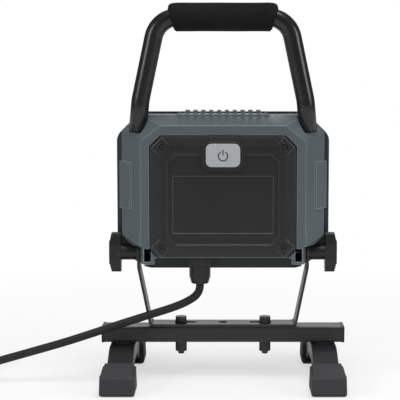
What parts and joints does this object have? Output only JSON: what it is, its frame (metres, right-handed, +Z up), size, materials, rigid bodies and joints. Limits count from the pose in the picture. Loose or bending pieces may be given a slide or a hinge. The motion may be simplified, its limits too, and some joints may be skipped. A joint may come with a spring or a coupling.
{
  "type": "work light",
  "caption": "Portable LED flood light on a low two-legged floor stand, tilting in a flat steel bracket, with foam grip handle, rear switch and mains cable.",
  "frame": {"origin": "on the floor under the middle of the stand, midway between the legs and between their feet", "axes": "+Z up, +Y the way the light shines, +X towards the right-hand leg as seen from behind"},
  "size_m": [0.501, 0.235, 0.376],
  "materials": {
    "black_steel": "satin black powder coat",
    "black_plastic": "moulded, matte",
    "foot_rubber": "matte rubber",
    "zinc_steel": "zinc plated",
    "housing_paint": "fine textured slate grey coat",
    "frame_paint": "fine textured dark grey coat",
    "glass": "clear tempered",
    "seal_rubber": "matte",
    "reflector_white": "white",
    "led_yellow": "phosphor",
    "aluminium": "bare",
    "cover_plastic": "fine textured, satin",
    "black_screw": "black oxide",
    "button_grey": "matte light grey",
    "board_green": "solder mask",
    "terminal_white": "moulded",
    "wire": "insulation",
    "tube_paint": "gloss black powder coat",
    "foam": "closed cell foam",
    "cable_rubber": "matte, fine ribbed",
    "tie_fabric": "hook and loop",
    "pin_brass": "nickel plated"
  },
  "bodies": {
    "stand": {"crossbar": "black_steel", "bar_plugs": "black_plastic", "leg_left": "black_steel", "leg_right": "black_steel", "foot_cap_left_rear": "foot_rubber", "foot_cap_left_front": "foot_rubber", "foot_cap_right_rear": "foot_rubber", "foot_cap_right_front": "foot_rubber", "leg_spacers": "black_plastic", "leg_bolts": "black_steel", "leg_nuts": "zinc_steel", "bracket": "black_steel", "bracket_bolts": "black_steel", "bracket_washers": "black_steel", "bracket_nuts": "black_steel", "cord_lead": "cable_rubber", "cord_coil": "cable_rubber", "cord_end": "cable_rubber", "cord_tie": "tie_fabric", "plug_body": "cable_rubber", "plug_pins": "pin_brass"},
    "head": {"pivot_washers": "black_plastic", "pivot_nuts": "zinc_steel", "rear_housing": "housing_paint", "front_frame": "frame_paint", "frame_screws": "zinc_steel", "front_glass": "glass", "glass_gasket": "seal_rubber", "reflector": "reflector_white", "led_board": "reflector_white", "led_chips": "led_yellow", "board_screws": "zinc_steel", "heat_sink": "aluminium", "sink_screws": "zinc_steel", "rear_cover": "cover_plastic", "cover_gasket": "seal_rubber", "cover_screws": "black_screw", "switch_bezel": "seal_rubber", "switch_spring": "zinc_steel", "switch_body": "black_plastic", "driver_board": "board_green", "driver_coil": "black_plastic", "driver_capacitors": "aluminium", "terminal_block": "terminal_white", "lead_wires": "wire", "handle_tube": "tube_paint", "grip_foam": "foam", "handle_screws": "zinc_steel", "gland_body": "black_plastic", "gland_locknut": "black_plastic", "gland_seal": "seal_rubber", "gland_cap": "black_plastic", "cord_tail": "cable_rubber"},
    "button": {"switch_button": "button_grey"},
    "left_knob": {"knob_left": "black_plastic", "knob_stud_left": "zinc_steel"},
    "right_knob": {"knob_right": "black_plastic", "knob_stud_right": "zinc_steel"}
  },
  "joints": [
    {"name": "head_tilt", "type": "hinge", "parent": "stand", "child": "head", "pos_m": [0, 0, 0.1276], "axis": [1, 0, 0], "range_deg": [-20, 60], "deforming": ["cord_lead"]},
    {"name": "left_knob_turn", "type": "hinge", "parent": "head", "child": "left_knob", "pos_m": [-0.1, 0, 0.1276], "axis": [-1, 0, 0], "range_deg": [0, 360]},
    {"name": "right_knob_turn", "type": "hinge", "parent": "head", "child": "right_knob", "pos_m": [0.1, 0, 0.1276], "axis": [1, 0, 0], "range_deg": [0, 360]},
    {"name": "button_press", "type": "slide", "parent": "head", "child": "button", "axis": [0, 1, 0], "range_m": [0, 0.0015], "stiffness_N_per_m": 1500, "springref_m": -0.001, "deforming": ["switch_spring"]}
  ]
}
